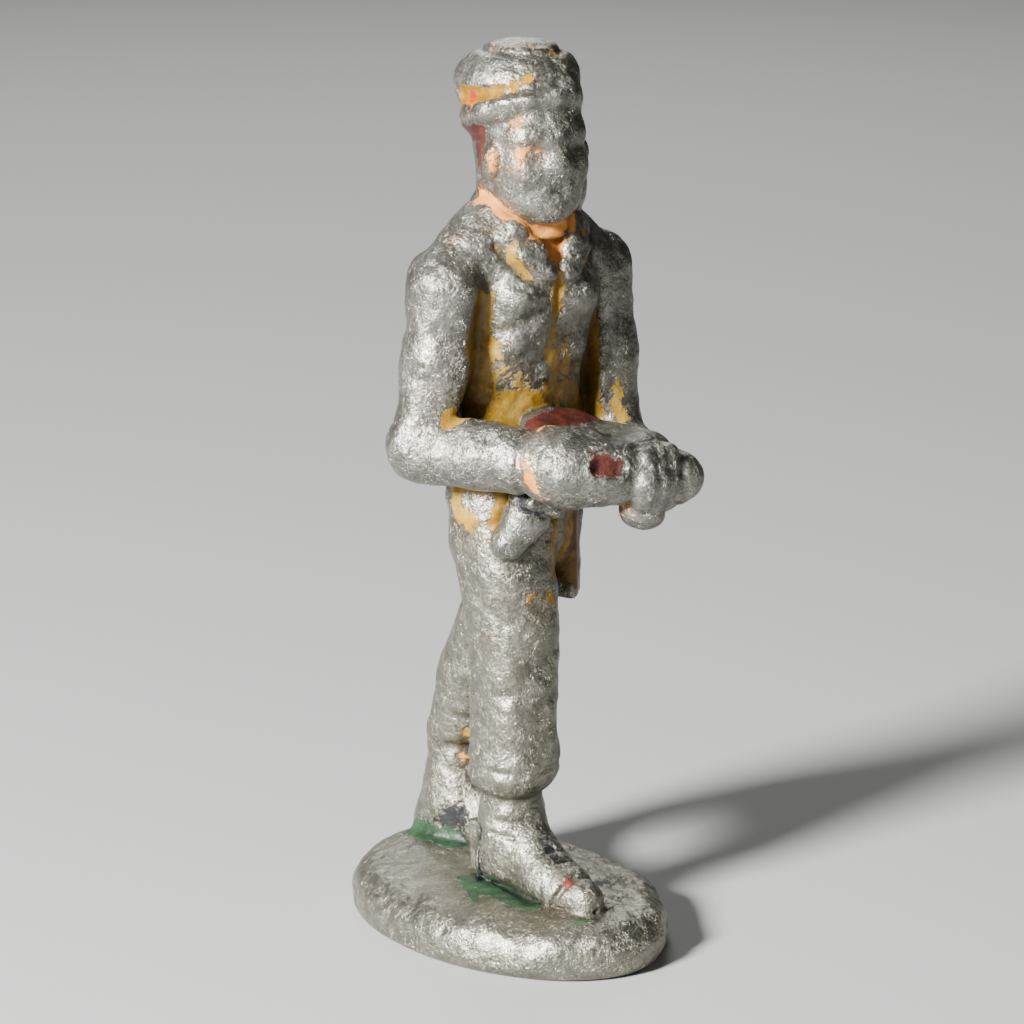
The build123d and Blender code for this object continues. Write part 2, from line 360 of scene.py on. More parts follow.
def cap_crown_form():
    """The soft dome of the cap, widest just over the roll."""
    return column(
        [facing(-0.2, 1.7, 69.7, 4.3, 4.2), facing(-0.2, 1.3, 71.4, 4.75, 5.1),
         facing(-0.2, 1.3, 73.4, 5.0, 5.5), facing(0.0, 1.2, 74.9, 4.4, 4.8),
         facing(0.1, 1.0, 76.2, 3.3, 3.7)],
        2.4,
    )


def cap_visor_form():
    """The rolled edge of the cap: thick over the brow, dying away behind the ears."""
    points = []
    for angle in range(-125, 126, 25):
        a = math.radians(angle)
        front = 0.5 + 0.5 * math.cos(a)
        x = (4.0 if a < 0 else 2.9) * math.sin(a)
        y = 0.3 - 4.2 * math.cos(a)
        points.append(facing(x, y, 69.1 + 3.5 * front, 1.35))
    return limb(points, 0.6)


# Name, form, and the width of the fillet where it grows out of what was there before

parts = [
    ("base", base_form(), 0.3),
    ("right_shoe", boot(FRONT_ANKLE, (-1.0, -12.5), 2.9, HEM_Z + 1.0), 0.7),
    ("left_shoe", boot(REAR_ANKLE, (5.2, 0.3), 3.6, HEM_Z + 2.2), 1.3),
    (
        "right_trouser_leg",
        column(
            [(-1.0, -1.6, HEM_Z - 0.5, 3.0, 3.0), (-1.0, -1.6, HEM_Z + 0.9, 3.5, 3.5),
             (-1.05, -1.7, 18.5, 3.45, 3.5), (-1.1, -1.75, 24.5, 3.55, 3.6),
             (-1.45, -1.6, 29.0, 3.65, 3.75), (-1.55, -1.2, 33.5, 3.95, 4.0),
             (-1.3, -0.8, 37.2, 3.95, 4.0)],
            1.3, 2.4,
        ),
        0.35,
    ),
    (
        "left_trouser_leg",
        column(
            [(3.1, 10.3, HEM_Z + 0.6, 2.9, 3.0), (3.2, 9.8, HEM_Z + 2.3, 3.2, 3.4),
             (3.2, 9.2, 17.4, 3.15, 3.4), (3.25, 8.2, 20.5, 3.5, 3.8), (3.4, 5.9, 25.0, 3.65, 3.9),
             (3.5, 3.2, 30.5, 3.75, 4.0), (3.6, 1.4, 36.5, 3.7, 4.1)],
            1.2,
        ),
        0.45,
    ),
    ("leg_web", slab((0.9, 4.2, 21.6), (0.65, 3.4, 7.6), 0.4, (0, 0, -28)), 0.7),
    ("heel_web", slab((-1.7, 1.9, 6.8), (0.45, 1.1, 2.5), 0.3, (0, 0, 12)), 0.5),
    (
        "trousers_seat",
        column([(0.9, 0.7, 31.2, 3.4, 2.9), (0.9, 0.5, 34.0, 5.6, 4.3), (0.9, 0.5, 36.5, 5.8, 4.5),
                (1.0, 0.5, 39.4, 5.9, 4.5)], 1.5),
        1.6,
    ),
    (
        "jacket_body",
        column(
            [(0.85, 0.5, JACKET_HEM_Z, 6.2, 4.7), (0.95, 0.6, 39.5, 6.0, 4.6), (1.4, 0.9, 43.0, 6.1, 4.2),
             (1.6, 1.0, 46.5, 6.5, 3.9), (1.5, 0.5, 51.0, 6.5, 4.2), (1.3, 0.2, 56.5, 7.6, 4.6),
             (1.0, 0.4, 60.2, 8.1, 3.7), (1.1, 0.6, 62.4, 5.7, 3.1), (1.4, 0.6, 63.6, 4.2, 2.8)],
            1.2, 2.2,
        ),
        0.4,
    ),
    ("right_sleeve", sleeve(RIGHT_SHOULDER, RIGHT_ELBOW, RIGHT_CUFF, 0.4, 2.65), 0.7),
    ("left_sleeve", sleeve(LEFT_SHOULDER, LEFT_ELBOW, LEFT_CUFF, 0.0, 2.3), 0.8),
    ("carried_bundle", bundle_form(), 0.5),
    ("right_hand", right_hand_form(), 0.45),
    ("left_hand", left_hand_form(), 0.5),
    ("holster", limb([(-3.9, -4.6, 35.6, 1.5), (-2.8, -5.3, 37.7, 1.95)]), 0.3),
    ("holster_flap", slab((-2.4, -6.1, 39.0), (1.9, 1.6, 0.85), 0.55, (-8, 24, 0)), 0.2),
    ("hip_pouch", slab((4.45, -1.8, 33.4), (1.35, 1.3, 4.4), 0.6, (0, 0, 38)), 0.5),
    ("neck", column([facing(0, -0.4, 60.5, 3.1, 3.3), facing(0, -0.2, 65.0, 3.0, 3.2)], 0.5), 0.6),
    ("head", head_form(), 0.5),
    ("hair", hair_form(), 0.6),
    ("right_ear", egg(facing(-4.15, -1.5, 66.9), (0.75, 1.0, 1.55), (14, 0, HEAD_TURN)), 0.35),
    ("left_ear", egg(facing(4.15, -1.5, 66.9), (0.75, 1.0, 1.55), (14, 0, HEAD_TURN)), 0.35),
    ("right_collar", collar_leaf(-1), 0.35),
    ("left_collar", collar_leaf(1), 0.35),
    ("cap_crown", cap_crown_form(), 0.35),
    ("cap_visor", cap_visor_form(), 0.45),
    ("cap_top", egg(facing(0.1, 0.9, 75.65), (2.9, 3.4, 0.8)), 0.3),
]

names = [part[0] for part in parts]

solid = np.full(counts, FAR, dtype=np.float32)
nearest = np.full(counts, FAR, dtype=np.float32)
second = np.full(counts, FAR, dtype=np.float32)
owner = np.zeros(counts, dtype=np.int8)

for index, (name, (low, high, distance), fillet) in enumerate(parts):
    block = Block(low, high)
    field = distance(block.x, block.y, block.z).astype(np.float32)
    solid[block.spans] = merge(solid[block.spans], field, fillet)
    best = nearest[block.spans]
    closer = field < best
    second[block.spans] = np.where(closer, best, np.minimum(second[block.spans], field))
    nearest[block.spans] = np.where(closer, field, best)
    owner[block.spans] = np.where(closer, np.int8(index), owner[block.spans])


def press(points, width, depth):
    """Presses a soft groove along a line of places, or raises a ridge where the depth is below zero."""
    low = np.min(points, axis=0)
    high = np.max(points, axis=0)
    line = limb([(*p, 0.0) for p in points]) if len(points) > 1 else egg(points[0], (0.01, 0.01, 0.01))
    block = Block(low, high, 3.2 * width)
    gap = line[2](block.x, block.y, block.z)
    solid[block.spans] += np.float32(depth) * np.exp(-((gap / width) ** 2)).astype(np.float32)


def lump(x, y, z, width, height):
    """A soft swelling, or a hollow where the height is below zero."""
    block = Block((x, y, z), (x, y, z), 3.0 * width)
    gap2 = (block.x - x) ** 2 + (block.y - y) ** 2 + (block.z - z) ** 2
    solid[block.spans] -= np.float32(height) * np.exp(-gap2 / width**2).astype(np.float32)


# Sculpted detail: creases, folds and hems

# cap: the crease between crown and roll, and the seam round the flat top
press([facing(x, y, z) for x, y, z in
       ((-4.6, 2.6, 72.2), (-4.9, 0.4, 72.3), (-4.6, -1.6, 72.5), (-3.6, -3.3, 72.9),
        (-2.0, -4.4, 73.3), (0.2, -4.7, 73.5))],
      0.5, 0.75)
press([facing(3.3 * math.sin(a), 0.9 - 3.8 * math.cos(a), 75.7) for a in np.linspace(-2.2, 2.2, 12)],
      0.35, 0.3)

# face: eye hollows, lids, mouth line and nostril fold
for side in (-1, 1):
    lump(*facing(side * 1.8, -4.4, 68.0), 0.9, -0.3)
    lump(*facing(side * 1.8, -4.3, 67.9), 0.5, 0.2)
    press([facing(side * 1.0, -5.1, 66.4), facing(side * 1.7, -4.6, 65.0)], 0.4, 0.12)
press([facing(-1.1, -4.85, 64.8), facing(0, -5.1, 64.75), facing(1.1, -4.85, 64.8)], 0.3, 0.25)

# jacket: front opening, the edges of the collar's leaves, and the hollows between arms and ribs
press([(1.6, -4.6, 57.4), (1.1, -4.8, 53.5), (1.4, -4.5, 49.5), (1.7, -4.2, 47.2)], 0.32, 0.5)
press([(2.6, -4.9, 52.5), (3.1, -4.3, 48.0), (3.2, -4.1, 47.2)], 0.4, 0.35)
press([(-3.6, -0.4, 61.2), (-3.6, -2.6, 59.9), (-2.4, -4.2, 58.2), (-0.6, -4.9, 56.6)], 0.45, 0.4)
press([(6.4, -0.4, 61.2), (6.4, -2.6, 59.9), (5.2, -4.2, 58.2), (3.5, -4.9, 56.8)], 0.45, 0.35)
press([(-4.6, -2.9, 57.6), (-5.0, -2.3, 54.6), (-5.1, -1.8, 51.0), (-5.2, -1.2, 47.6),
       (-6.2, -0.8, 46.6)], 1.1, 0.8)
press([(6.9, -3.2, 57.2), (7.1, -2.4, 54.0), (7.0, -1.8, 50.5), (7.0, -1.4, 46.8)], 0.8, 0.8)
# jacket: the cloth gathered over the chest and the belt
lump(-2.0, -4.2, 55.8, 1.6, 1.0)
lump(-2.3, -3.6, 52.0, 1.4, 0.85)
lump(-0.4, -4.4, 53.6, 1.2, 0.6)
lump(-1.2, -4.0, 50.2, 1.2, 0.3)
lump(4.4, -4.2, 55.2, 1.8, 0.9)
lump(4.6, -3.8, 50.8, 1.4, 0.7)
lump(0.4, -4.2, 48.8, 1.2, 0.25)
press([(-4.0, -3.2, 53.0), (-2.4, -4.4, 53.6), (-0.6, -4.9, 55.0)], 0.55, 0.35)
press([(-2.6, -4.2, 49.9), (-1.2, -4.6, 51.6), (-0.2, -4.8, 52.2)], 0.55, 0.25)
press([(-3.4, -3.8, 57.2), (-2.2, -4.4, 56.8)], 0.4, 0.25)
press([(3.6, -4.6, 53.4), (5.6, -4.0, 52.4)], 0.55, 0.28)

# behind: the spine's hollow, the shoulder blades and the belt
press([(1.4, 4.8, 59.0), (1.2, 5.0, 52.0), (1.2, 4.9, 45.0)], 0.9, 0.35)
lump(-2.4, 4.4, 56.0, 2.4, 0.5)
lump(5.0, 4.4, 56.0, 2.4, 0.5)
press([(-5.0, 3.2, 43.4), (-1.0, 5.0, 43.0), (3.4, 5.0, 43.0), (6.8, 3.0, 43.4)], 0.5, 0.3)
press([(-3.0, 4.4, 49.0), (-0.6, 5.0, 47.2), (1.0, 5.0, 46.4)], 0.5, 0.25)
press([(5.6, 4.2, 49.6), (3.4, 4.9, 47.8), (1.8, 5.0, 47.0)], 0.5, 0.25)
press([(-5.2, 3.6, 56.6), (-5.2, 3.8, 51.0), (-5.6, 3.4, 46.6)], 0.7, 0.6)
press([(7.3, 3.6, 56.6), (7.4, 3.6, 51.0), (7.6, 2.8, 46.6)], 0.7, 0.6)

# sleeves: folds inside the elbows and the edge of each cuff
press([(-6.6, -1.6, 45.2), (-8.0, -2.0, 44.4), (-9.6, -1.2, 43.6)], 0.6, 0.22)
press([(-10.6, 0.4, 50.0), (-9.4, -1.8, 48.6)], 0.7, 0.2)
press([(-9.0, -1.8, 53.6), (-6.6, -2.6, 52.4)], 0.8, 0.2)
press([(-6.7, -5.4, 44.6), (-7.3, -6.4, 42.6), (-6.2, -7.6, 40.8)], 0.35, 0.16)
for x, y, z in (RIGHT_CUFF, LEFT_CUFF):
    along = 0.5 if x < 0 else 0.2
    ring = [(x + 2.9 * math.cos(a) * 0.87, y + 2.9 * math.cos(a) * along, z + 2.9 * math.sin(a))
            for a in np.linspace(0, 2 * math.pi, 13)]
    press(ring, 0.35, 0.45)

# hands: the hollow between the fists and its raised lip
press([(-1.9, -13.8, 43.4), (-0.7, -14.3, 43.3)], 0.6, 1.5)
press([(-1.3 + 1.8 * math.cos(a), -14.2 - 0.6 * math.cos(a), 43.35 + 1.2 * math.sin(a))
       for a in np.linspace(0, 6.283, 11)],
      0.4, -0.2)

# trousers: knee folds, the calf crease and the rolled hems
press([(-3.2, -4.4, 26.2), (-1.6, -5.4, 24.2), (0.4, -5.2, 25.8)], 0.55, 0.2)
press([(-3.6, -4.3, 22.4), (-1.9, -5.4, 20.6), (0.6, -5.3, 22.0)], 0.6, 0.18)
press([(0.9, -4.8, 22.0), (1.5, -4.6, 19.0), (1.2, -4.7, 16.6)], 0.5, 0.22)
press([(-4.9, -2.2, 30.5), (-4.2, -4.0, 28.6)], 0.6, 0.18)
press([(1.8, -4.3, 34.0), (2.2, -3.8, 30.0), (2.4, -3.4, 26.0)], 0.7, 0.2)
for (x, y), z in (((-1.0, -1.6), HEM_Z + 2.2), ((3.1, 10.0), HEM_Z + 3.5)):
    press([(x + 3.75 * math.cos(a), y + 3.75 * math.sin(a), z) for a in np.linspace(0, 2 * math.pi, 17)],
          0.35, 0.14)

for x, y, z, width, height in (
    (-3.0, -4.6, 32.0, 1.8, 0.3), (-0.6, -5.2, 27.4, 1.8, 0.35), (-3.6, -4.0, 24.2, 1.5, 0.25),
    (-1.0, -5.4, 22.4, 1.4, 0.25), (-3.2, -4.4, 19.4, 1.6, 0.25), (0.4, -5.0, 17.8, 1.4, 0.25),
    (-2.4, -5.0, 15.8, 1.3, 0.2), (1.6, -4.0, 30.4, 1.5, 0.25),
):
    lump(x, y, z, width, height)

# boots: the toe cap, laces worn to soft bars, folds at the ankle, and the sole's edge
press([(-3.3, -9.4, 5.2), (-2.6, -10.0, 6.6), (-1.2, -10.3, 7.3), (0.4, -10.0, 6.8)], 0.28, 0.4)
for i in range(4):
    y = -3.9 - 1.3 * i
    z = 9.9 - 0.62 * i
    press([(-2.6, y + 0.2, z - 0.9), (-1.2, y - 0.3, z), (0.2, y, z - 0.4)], 0.26, 0.3)
press([(-3.7, -2.6, 10.8), (-2.6, -4.0, 10.6), (-0.8, -4.5, 10.9)], 0.3, 0.25)
press([(-3.7, -2.0, 9.6), (-2.9, -3.8, 9.4)], 0.3, 0.25)
for x, y, z, width, height in (
    (-2.9, -2.6, 7.6, 1.4, 0.3), (-2.4, -6.4, 7.2, 1.3, 0.3), (0.6, -5.0, 7.6, 1.3, 0.25),
    (-1.4, -11.8, 6.2, 0.9, 0.2), (-3.2, -4.6, 6.0, 0.9, -0.25),
):
    lump(x, y, z, width, height)
press([(-2.9, 1.2, 5.0), (-3.2, -2.0, 4.9), (-3.4, -6.0, 4.9), (-3.0, -9.6, 4.8),
       (-1.2, -12.4, 4.7)], 0.25, 0.22)
press([(-3.4, -0.3, 5.3), (-3.4, -0.2, 7.6), (-3.5, -0.5, 9.6)], 0.26, 0.8)
# base: the ground drawn up round the rear heel, and worn hollows on its rim
lump(2.0, 11.6, 4.2, 4.5, 0.75)
lump(-7.0, -9.0, 3.4, 2.4, -0.25)
lump(-9.4, 2.0, 3.0, 2.2, -0.2)
lump(7.4, -9.4, 3.2, 2.4, -0.25)
lump(2.4, -15.2, 3.0, 2.0, -0.2)
lump(6.6, -13.8, 0.4, 3.2, -0.7)


def soft_noise(spacing, seed):
    """Smooth random values over the grid, with lumps about twice the spacing across."""
    random = np.random.default_rng(seed)
    cells = np.ceil((HIGH - LOW) / spacing).astype(int) + 4
    values = random.normal(0, 1, cells).astype(np.float32)
    for i in range(3):
        at = (axes[i] - LOW[i]) / spacing + 1
        first = np.floor(at).astype(int)
        t = (at - first).astype(np.float32)
        weights = [
            (1 - t) ** 3 / 6,
            (3 * t**3 - 6 * t**2 + 4) / 6,
            (-3 * t**3 + 3 * t**2 + 3 * t + 1) / 6,
            t**3 / 6,
        ]
        rows = np.moveaxis(values, i, 0)
        shape = (-1, *([1] * (rows.ndim - 1)))
        rows = sum(w.reshape(shape) * rows[first + step - 1] for step, w in enumerate(weights))
        values = np.moveaxis(rows, 0, i)
    return values


# The rough skin of a sand casting, kept off the flat underside
skin = 0.17 * soft_noise(2.3, 11) + 0.1 * soft_noise(1.0, 12) + 0.07 * soft_noise(0.5, 13)
skin *= np.clip((axes[2] - 0.5) / 0.8, 0, 1)[None, None, :]
skin *= (1 - 0.55 * np.exp(-(((axes[2] - 66.5) / 4.0) ** 4)))[None, None, :]  # smoother over the face
solid += skin
del skin
solid = np.maximum(solid, -axes[2][None, None, :])
owner_label = np.where(solid < 0, owner, np.int8(-1))
for _ in range(2):  # a speck of one piece alone among others joins its neighbour
    settled = owner_label.copy()
    around = [np.roll(owner_label, step, axis) for axis in range(3) for step in (-1, 1)]
    alone = (owner_label >= 0) & (sum((near == owner_label).astype(np.int8) for near in around) < 2)
    for near in around:
        swap = alone & (near >= 0) & (near != owner_label)
        settled[swap] = near[swap]
    owner_label = settled
del settled, around, alone
margin = np.clip(second - nearest, 1e-3, None)


# Skin of the field: one vertex in each cell that a boundary crosses, shared by every piece that meets there

CORNERS = [(i, j, k) for i in (0, 1) for j in (0, 1) for k in (0, 1)]
cells = tuple(counts - 1)


def corner(array, offset):
    """The values at one corner of every cell."""
    return array[tuple(slice(o, o + n) for o, n in zip(offset, cells))]


mixed = np.zeros(cells, dtype=bool)
for offset in CORNERS[1:]:
    mixed |= corner(owner_label, offset) != corner(owner_label, CORNERS[0])
cell_at = np.argwhere(mixed)
vertex_of = np.full(cells, -1, dtype=np.int32)
vertex_of[mixed] = np.arange(len(cell_at), dtype=np.int32)

label_at = {}
solid_at = {}
margin_at = {}
for offset in CORNERS:
    at = tuple((cell_at + offset).T)
    label_at[offset] = owner_label[at]
    solid_at[offset] = solid[at]
    margin_at[offset] = margin[at]

outer_sum = np.zeros((len(cell_at), 3))
outer_count = np.zeros(len(cell_at))
inner_sum = np.zeros((len(cell_at), 3))
inner_count = np.zeros(len(cell_at))
slope = np.zeros((len(cell_at), 3))
for a in CORNERS:
    for axis in range(3):
        if a[axis]:
            continue
        b = tuple(1 if i == axis else a[i] for i in range(3))
        slope[:, axis] += solid_at[b] - solid_at[a]
        differ = label_at[a] != label_at[b]
        surface = differ & ((label_at[a] < 0) | (label_at[b] < 0))
        inside = differ & ~surface
        for chosen, total, count, start, end in (
            (surface, outer_sum, outer_count, np.abs(solid_at[a]), np.abs(solid_at[b])),
            (inside, inner_sum, inner_count, margin_at[a], margin_at[b]),
        ):
            t = start / (start + end + 1e-9)
            for i in range(3):
                total[:, i] += np.where(chosen, a[i] + (t if i == axis else 0), 0)
            count += chosen

on_skin = outer_count > 0
middle = np.where(
    on_skin[:, None],
    outer_sum / np.maximum(outer_count, 1)[:, None],
    inner_sum / np.maximum(inner_count, 1)[:, None],
)
places = LOW + (cell_at + middle) * VOXEL
outward = slope / np.maximum(np.linalg.norm(slope, axis=1), 1e-9)[:, None]

quads, low_labels, high_labels = [], [], []
for axis in range(3):
    u, v = (axis + 1) % 3, (axis + 2) % 3
    span_low = [slice(1, n) for n in counts - 1]
    span_low[axis] = slice(0, counts[axis] - 1)
    span_high = list(span_low)
    span_high[axis] = slice(1, counts[axis])
    before = owner_label[tuple(span_low)]
    after = owner_label[tuple(span_high)]
    edge_at = np.argwhere(before != after)
    start = edge_at.copy()
    start[:, u] += 1
    start[:, v] += 1
    ring = []
    for du, dv in ((-1, -1), (0, -1), (0, 0), (-1, 0)):
        at = start.copy()
        at[:, u] += du
        at[:, v] += dv
        ring.append(vertex_of[tuple(at.T)])
    quads.append(np.stack(ring, axis=1))
    low_labels.append(before[tuple(edge_at.T)])
    high_labels.append(after[tuple(edge_at.T)])
quads = np.concatenate(quads)
low_labels = np.concatenate(low_labels)
high_labels = np.concatenate(high_labels)


# How sunk or proud each place is, from the share of metal around it


def metal_share(radius):
    """The share of metal round every vertex, out to about that radius: a half on flats, more in hollows."""
    skip = 2
    coarse = (solid[::skip, ::skip, ::skip] < 0).astype(np.float32)
    half = max(int(round(radius / (VOXEL * skip))), 1)
    for axis in range(3):
        padding = [(half + 1, half) if i == axis else (0, 0) for i in range(3)]
        total = np.cumsum(np.pad(coarse, padding, mode="edge"), axis=axis)
        upper = np.take(total, range(2 * half + 1, total.shape[axis]), axis=axis)
        lower = np.take(total, range(0, total.shape[axis] - 2 * half - 1), axis=axis)
        coarse = (upper - lower) / (2 * half + 1)
    at = (places - LOW) / (VOXEL * skip)
    first = np.minimum(np.floor(at).astype(int), np.array(coarse.shape) - 2)
    t = at - first
    share = 0
    for offset in CORNERS:
        weight = np.prod([t[:, i] if offset[i] else 1 - t[:, i] for i in range(3)], axis=0)
        share = share + weight * coarse[tuple((first + offset).T)]
    return share


cavity = metal_share(1.1)
wide_cavity = metal_share(2.6)


# Paint that is left, as distances to named places: below zero is inside a patch


def patches(*lines):
    """Distance from every vertex to the nearest of some painted strokes, each a list of (x, y, z, radius)."""
    x, y, z = places.T
    result = np.full(len(places), 3.0)
    for line in lines:
        line = list(line)
        if len(line) == 1:
            line.append(tuple(v + 0.01 for v in line[0][:3]) + (line[0][3],))
        result = np.minimum(result, limb(line)[2](x, y, z))
    return result


paint = {
    "ochre": patches(
        # cap: the crease and the edge of the flat top
        [(-3.1, 2.6, 71.9, 0.9), (-3.3, 0.5, 72.2, 0.95), (-3.1, -1.2, 72.6, 0.4), (-2.3, -2.6, 73.3, 0.3),
         (-0.9, -3.9, 73.8, 0.45)],
        [(-1.2, 0.4, 76.1, 0.1), (0.0, -1.2, 76.2, 0.35), (0.9, -2.0, 76.1, 0.4), (1.9, -2.7, 75.8, 0.35),
         (2.4, -3.0, 75.4, 0.2)],
        # jacket: between the right arm and the ribs, and across the waist
        [(-4.9, -2.6, 55.6, 0.5), (-5.0, -2.2, 51.0, 1.5), (-5.0, -2.0, 47.5, 2.4)],
        [(-7.6, -1.8, 46.2, 0.9), (-3.6, -2.8, 46.6, 2.0), (0.3, -3.4, 45.9, 1.7), (1.6, -3.6, 45.6, 1.2)],
        [(-3.6, -3.5, 50.0, 1.1), (-2.2, -3.9, 48.2, 1.5)],
        [(-4.0, -3.3, 53.0, 0.5), (-3.8, -3.2, 50.8, 1.0)],
        [(-0.2, -4.9, 51.6, 0.25), (0.4, -4.6, 49.6, 0.5)],
        # jacket: the front opening and the folds beside it
        [(1.8, -4.5, 57.8, 0.2), (0.9, -4.6, 55.5, 0.35), (0.9, -4.8, 53.0, 0.4), (1.4, -4.4, 50.4, 0.9),
         (2.3, -3.8, 46.8, 1.5)],
        [(2.6, -4.6, 51.9, 0.4), (3.6, -3.9, 48.3, 1.1), (3.6, -3.6, 46.0, 1.7)],
        [(5.2, -3.6, 48.6, 0.8), (5.6, -3.2, 46.0, 1.5)],
        # jacket: the left armpit down to the belt, the collar and the right shoulder
        [(6.4, -3.4, 55.5, 0.4), (7.0, -2.4, 51.0, 1.0), (7.0, -1.9, 47.3, 1.5), (6.8, -2.4, 44.7, 1.6)],
        [(9.0, -3.4, 47.0, 0.7), (8.8, -3.7, 45.2, 1.1)],
        [(-2.4, -3.4, 60.9, 0.35), (-2.6, -4.0, 59.6, 0.6), (-1.6, -4.6, 58.0, 0.35)],
        [(4.9, -3.8, 60.4, 0.5), (5.0, -4.3, 58.8, 0.7)], [(5.6, -4.6, 55.4, 0.35)],
        [(4.6, -4.8, 53.0, 0.3)],
        [(-6.3, 0.2, 60.4, 0.2), (-4.6, -0.8, 61.2, 0.35), (-3.4, -2.0, 61.3, 0.15)],
        # below the belt: the jacket's skirt, the pouch, and specks down the trousers
        [(-5.8, 1.2, 39.8, 1.2), (-5.4, -1.6, 40.2, 1.0), (-3.4, -4.0, 39.8, 1.2)],
        [(-5.7, 0.9, 39.4, 1.2), (-5.6, 0.4, 37.8, 1.2), (-5.0, -1.4, 36.8, 0.7), (-4.8, -1.8, 35.4, 0.2)],
        [(-3.6, -4.0, 39.4, 1.1), (-3.9, -3.4, 37.8, 0.9), (-4.3, -2.8, 36.8, 0.6),
         (-4.4, -2.6, 35.6, 0.15)],
        [(0.9, -4.8, 37.0, 0.7), (0.9, -4.8, 32.6, 0.6)],
        [(4.1, -3.4, 36.4, 1.6), (4.3, -3.4, 30.6, 1.3)],
        [(-0.1, -5.5, 30.4, 0.35), (0.2, -5.5, 29.9, 0.3)], [(-2.5, -5.7, 30.7, 0.28)],
        [(-1.6, -5.8, 29.1, 0.14)], [(-4.9, -3.3, 26.9, 0.2)],
        [(-4.5, 0.8, 22.0, 0.1), (-4.4, 1.0, 16.0, 0.2)], [(1.0, 7.2, 15.0, 0.15)],
        # behind: the small of the back, the arms' inner edges and the collar's fold
        [(-4.2, 4.2, 45.0, 0.9), (-2.6, 4.8, 43.2, 0.5)], [(2.6, 5.0, 43.4, 0.6), (5.0, 4.4, 42.4, 1.1)],
        [(-4.8, 3.6, 50.0, 0.5), (-5.2, 3.2, 46.6, 0.9)],
        [(7.4, 3.4, 51.0, 0.5), (7.6, 3.0, 47.0, 0.9)], [(-0.6, 3.9, 62.0, 0.4), (2.8, 4.0, 62.1, 0.5)],
    ),
    "flesh": patches(
        [(-2.6, -3.9, 70.4, 0.42)], [(-2.2, -4.0, 67.9, 0.5), (-1.2, -4.5, 68.0, 0.45)],
        [(-2.5, -4.1, 67.0, 0.4)],
        [(-3.7, -1.8, 67.6, 0.65), (-3.6, -1.9, 66.6, 0.5)],
        [(-3.0, 0.8, 63.9, 0.35), (-2.4, -1.0, 63.2, 0.45), (-1.4, -2.6, 62.0, 0.5),
         (-0.4, -3.6, 60.9, 0.5)],
        [(-0.4, -3.7, 61.2, 0.5), (1.5, -4.2, 60.4, 0.9), (1.6, -4.4, 58.8, 0.35)],
        [(1.5, -4.0, 61.6, 0.8), (3.6, -3.8, 61.4, 0.5)],
        [(-6.5, -9.2, 43.6, 0.2), (-6.1, -9.7, 42.4, 0.4), (-5.2, -10.0, 41.0, 0.45)],
        [(2.1, -12.6, 39.3, 0.35)],
        [(-4.4, -8.4, 45.9, 0.25), (-2.0, -8.2, 46.0, 0.5), (0.0, -8.5, 45.9, 0.3)],
        [(1.5, 8.2, 12.5, 0.3)],
    ),
    "maroon": patches(
        [(-2.8, 1.9, 69.2, 1.1), (-3.1, 0.4, 69.2, 0.8)], [(-3.0, 0.9, 68.0, 0.5), (-3.1, 1.0, 64.3, 0.5)],
        [(5.2, -2.6, 68.6, 0.6), (5.6, -2.4, 65.0, 0.8), (5.4, -1.4, 62.8, 0.6)],
        [(-1.6, -5.6, 45.6, 1.5), (2.2, -5.4, 45.4, 1.6), (3.9, -5.6, 45.2, 0.9)],
        [(-1.8, -13.3, 43.5, 0.95), (-0.7, -13.8, 43.3, 0.9)],
        [(0.6, 4.9, 69.4, 0.7), (2.6, 4.6, 66.0, 0.9)], [(-1.2, 4.6, 64.5, 0.6), (1.0, 4.7, 63.2, 0.8)],
    ),
    "black": patches(
        [(-3.6, -6.4, 39.4, 0.8), (-2.2, -6.9, 39.4, 0.9), (-1.0, -6.7, 38.6, 0.6)],
        [(0.3, 10.0, 7.0, 0.5), (1.0, 8.0, 7.6, 0.9)], [(-1.1, -5.8, 9.5, 0.4), (-1.3, -6.8, 9.0, 0.5)],
        [(-1.5, -7.5, 8.5, 0.4), (-1.6, -8.0, 8.2, 0.25)],
        [(-3.5, -0.3, 5.2, 0.3), (-3.5, -0.5, 9.4, 0.2)], [(3.6, 13.4, 6.6, 0.6), (5.0, 11.6, 6.0, 0.7)],
    ),
    "green": patches(
        [(0.0, 13.2, 5.2, 0.8), (0.2, 10.6, 5.3, 1.3), (0.4, 8.0, 5.2, 0.9)],
        [(-4.4, 0.9, 4.9, 0.6), (-4.4, -1.4, 4.9, 0.8), (-4.2, -4.6, 4.8, 0.8), (-4.4, -8.0, 4.6, 0.4)],
        [(-5.2, 0.2, 4.8, 0.5), (-5.4, -1.6, 4.7, 0.4), (-7.1, -3.8, 4.5, 0.15)],
        [(4.3, -6.9, 4.6, 0.5), (3.4, -6.4, 4.7, 0.3)],
        [(-3.3, -12.7, 4.4, 0.45), (-2.2, -13.2, 4.4, 0.25)],
        [(6.2, 6.0, 4.8, 0.9), (7.4, 9.0, 4.6, 0.7)], [(3.6, -2.0, 4.9, 0.7), (5.4, -0.6, 4.8, 0.5)],
    ),
    "red": patches(
        [(-2.2, -9.8, 7.1, 0.2), (-2.1, -10.2, 6.9, 0.15)],
        [(-3.4, 1.1, 72.2, 0.12), (-3.5, 1.1, 71.5, 0.14)],
    ),
}

for name, values in paint.items():
    paint[name] = values.astype(np.float32)


# Materials


